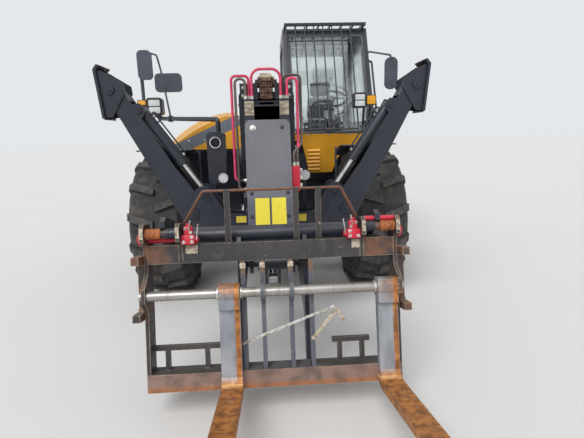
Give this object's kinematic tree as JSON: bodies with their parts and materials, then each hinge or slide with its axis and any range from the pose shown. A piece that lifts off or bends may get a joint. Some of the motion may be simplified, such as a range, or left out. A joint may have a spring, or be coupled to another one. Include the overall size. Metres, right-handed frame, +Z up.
{
  "type": "telehandler",
  "caption": "Telescopic handler with a boom, side cab, raised front stabilisers and a fork frame on steered wheels.",
  "frame": {"origin": "centre of the bounding box on the floor that the tyres stand on", "axes": "+Z up, -Y toward the forks, +X toward the cab side"},
  "size_m": [2.467, 6.8779, 2.604],
  "materials": {
    "black": "satin",
    "bright": "polished",
    "fork_steel": "matte",
    "glass": "gloss",
    "grey": "matte",
    "iron": "matte",
    "lamp": "gloss",
    "plastic": "matte",
    "red": "matte",
    "rim": "satin",
    "rust": "matte",
    "seat": "matte",
    "tyre": "matte",
    "yellow": "satin"
  },
  "bodies": {
    "chassis": {"chassis_frame": "black", "tail_weight": "iron", "stabiliser_frame": "black", "axle_front": "iron", "axle_rear": "iron", "engine_block": "iron", "engine_pod": "black", "lamp_pod": "black", "headlamps": "lamp", "work_lamps": "lamp", "mirrors": "plastic", "tank_and_steps": "black", "cab_shell": "grey", "cab_glass": "glass", "cab_guard": "black", "cab_front_panel": "yellow", "seat": "seat", "dashboard": "plastic"},
    "door": {"cab_door": "grey", "door_glass": "glass"},
    "bonnet": {"bonnet": "yellow"},
    "boom_outer": {"boom_outer": "grey", "boom_chain": "iron"},
    "boom_mid": {"boom_mid": "grey"},
    "boom_inner": {"boom_inner": "grey", "nose_cover": "grey", "boom_hoses": "plastic"},
    "carriage": {"hitch": "red", "fork_frame": "rust", "fork_shaft": "bright", "fork_left": "fork_steel", "fork_right": "fork_steel"},
    "lift_barrel": {"lift_barrel": "black"},
    "lift_rod": {"lift_rod": "bright"},
    "tilt_barrel": {"tilt_barrel": "black"},
    "tilt_rod": {"tilt_rod": "bright"},
    "swivel_front_left": {"knuckle_front_left": "iron", "mudguard_front_left": "black"},
    "wheel_front_left": {"tyre_front_left": "tyre", "rim_front_left": "rim"},
    "swivel_front_right": {"knuckle_front_right": "iron", "mudguard_front_right": "black"},
    "wheel_front_right": {"tyre_front_right": "tyre", "rim_front_right": "rim"},
    "swivel_rear_left": {"knuckle_rear_left": "iron", "mudguard_rear_left": "black"},
    "wheel_rear_left": {"tyre_rear_left": "tyre", "rim_rear_left": "rim"},
    "swivel_rear_right": {"knuckle_rear_right": "iron", "mudguard_rear_right": "black"},
    "wheel_rear_right": {"tyre_rear_right": "tyre", "rim_rear_right": "rim"},
    "leg_left": {"stabiliser_leg_left": "black"},
    "foot_left": {"stabiliser_foot_left": "black"},
    "prop_barrel_left": {"stabiliser_barrel_left": "black"},
    "prop_rod_left": {"stabiliser_rod_left": "bright"},
    "leg_right": {"stabiliser_leg_right": "black"},
    "foot_right": {"stabiliser_foot_right": "black"},
    "prop_barrel_right": {"stabiliser_barrel_right": "black"},
    "prop_rod_right": {"stabiliser_rod_right": "bright"}
  },
  "joints": [
    {"name": "steer_front_left", "type": "hinge", "parent": "chassis", "child": "swivel_front_left", "pos_m": [0.7, -0.295, 0.63], "axis": [0, 0, 1], "range_deg": [-30, 30]},
    {"name": "spin_front_left", "type": "hinge", "parent": "swivel_front_left", "child": "wheel_front_left", "pos_m": [0.945, -0.295, 0.63], "axis": [1, 0, 0], "continuous": true},
    {"name": "steer_front_right", "type": "hinge", "parent": "chassis", "child": "swivel_front_right", "pos_m": [-0.7, -0.295, 0.63], "axis": [0, 0, 1], "range_deg": [-30, 30]},
    {"name": "spin_front_right", "type": "hinge", "parent": "swivel_front_right", "child": "wheel_front_right", "pos_m": [-0.945, -0.295, 0.63], "axis": [1, 0, 0], "continuous": true},
    {"name": "steer_rear_left", "type": "hinge", "parent": "chassis", "child": "swivel_rear_left", "pos_m": [0.7, 2.455, 0.63], "axis": [0, 0, 1], "range_deg": [-30, 30]},
    {"name": "spin_rear_left", "type": "hinge", "parent": "swivel_rear_left", "child": "wheel_rear_left", "pos_m": [0.945, 2.455, 0.63], "axis": [1, 0, 0], "continuous": true},
    {"name": "steer_rear_right", "type": "hinge", "parent": "chassis", "child": "swivel_rear_right", "pos_m": [-0.7, 2.455, 0.63], "axis": [0, 0, 1], "range_deg": [-30, 30]},
    {"name": "spin_rear_right", "type": "hinge", "parent": "swivel_rear_right", "child": "wheel_rear_right", "pos_m": [-0.945, 2.455, 0.63], "axis": [1, 0, 0], "continuous": true},
    {"name": "boom_raise", "type": "hinge", "parent": "chassis", "child": "boom_outer", "pos_m": [0, 2.605, 1.62], "axis": [-1, 0, 0], "range_deg": [0, 68]},
    {"name": "boom_mid_slide", "type": "slide", "parent": "boom_outer", "child": "boom_mid", "axis": [0, -0.9994, -0.0349], "range_m": [0, 2.55]},
    {"name": "boom_inner_slide", "type": "slide", "parent": "boom_mid", "child": "boom_inner", "axis": [0, -0.9994, -0.0349], "range_m": [0, 2.55]},
    {"name": "carriage_tilt", "type": "hinge", "parent": "boom_inner", "child": "carriage", "pos_m": [0, -1.585, 0.59], "axis": [1, 0, 0], "range_deg": [-10, 105]},
    {"name": "lift_barrel_turn", "type": "hinge", "parent": "chassis", "child": "lift_barrel", "pos_m": [0, 2.135, 0.76], "axis": [-1, 0, 0], "range_deg": [0, 58.67]},
    {"name": "lift_rod_slide", "type": "slide", "parent": "lift_barrel", "child": "lift_rod", "axis": [0, -0.9449, 0.3273], "range_m": [0, 1.042]},
    {"name": "tilt_barrel_turn", "type": "hinge", "parent": "boom_inner", "child": "tilt_barrel", "pos_m": [0, -1.36, 1.255], "axis": [1, 0, 0], "range_deg": [-0.63, 1.84]},
    {"name": "tilt_rod_slide", "type": "slide", "parent": "tilt_barrel", "child": "tilt_rod", "axis": [0, -0.1259, -0.992], "range_m": [-0.315, 0.033]},
    {"name": "leg_lower_left", "type": "hinge", "parent": "chassis", "child": "leg_left", "pos_m": [0.555, -1.165, 0.88], "axis": [0, 1, 0], "range_deg": [0, 85]},
    {"name": "foot_turn_left", "type": "hinge", "parent": "leg_left", "child": "foot_left", "pos_m": [1.0575, -1.165, 1.75036], "axis": [0, 1, 0], "range_deg": [-12, 12]},
    {"name": "prop_barrel_turn_left", "type": "hinge", "parent": "leg_left", "child": "prop_barrel_left", "pos_m": [0.88399, -1.165, 1.61382], "axis": [0, 1, 0], "range_deg": [-4.27, 0.3]},
    {"name": "prop_rod_slide_left", "type": "slide", "parent": "prop_barrel_left", "child": "prop_rod_left", "axis": [-0.5682, 0, -0.8229], "range_m": [0, 0.214]},
    {"name": "leg_lower_right", "type": "hinge", "parent": "chassis", "child": "leg_right", "pos_m": [-0.555, -1.165, 0.88], "axis": [0, -1, 0], "range_deg": [0, 85]},
    {"name": "foot_turn_right", "type": "hinge", "parent": "leg_right", "child": "foot_right", "pos_m": [-1.0575, -1.165, 1.75036], "axis": [0, -1, 0], "range_deg": [-12, 12]},
    {"name": "prop_barrel_turn_right", "type": "hinge", "parent": "leg_right", "child": "prop_barrel_right", "pos_m": [-0.88399, -1.165, 1.61382], "axis": [0, -1, 0], "range_deg": [-4.27, 0.3]},
    {"name": "prop_rod_slide_right", "type": "slide", "parent": "prop_barrel_right", "child": "prop_rod_right", "axis": [0.5682, 0, -0.8229], "range_m": [0, 0.214]},
    {"name": "door_swing", "type": "hinge", "parent": "chassis", "child": "door", "pos_m": [1.155, 1.609, 1.25], "axis": [0, 0, 1], "range_deg": [0, 90]},
    {"name": "bonnet_lift", "type": "hinge", "parent": "chassis", "child": "bonnet", "pos_m": [-0.68, 1.761, 1.322], "axis": [-1, 0, 0], "range_deg": [0, 45]}
  ],
  "couplings": [
    {"joint": "steer_front_right", "follows": "steer_front_left", "ratio": 1},
    {"joint": "steer_rear_right", "follows": "steer_rear_left", "ratio": 1},
    {"joint": "boom_inner_slide", "follows": "boom_mid_slide", "ratio": 1},
    {"joint": "lift_barrel_turn", "follows": "boom_raise", "ratio": 0.85538},
    {"joint": "lift_rod_slide", "follows": "boom_raise", "m_per_rad": 0.87361},
    {"joint": "tilt_barrel_turn", "follows": "carriage_tilt", "ratio": 0.012805},
    {"joint": "tilt_rod_slide", "follows": "carriage_tilt", "m_per_rad": -0.17028},
    {"joint": "prop_barrel_turn_left", "follows": "leg_lower_left", "ratio": -0.046678},
    {"joint": "prop_rod_slide_left", "follows": "leg_lower_left", "m_per_rad": 0.14225},
    {"joint": "prop_barrel_turn_right", "follows": "leg_lower_right", "ratio": -0.046678},
    {"joint": "prop_rod_slide_right", "follows": "leg_lower_right", "m_per_rad": 0.14225}
  ]
}
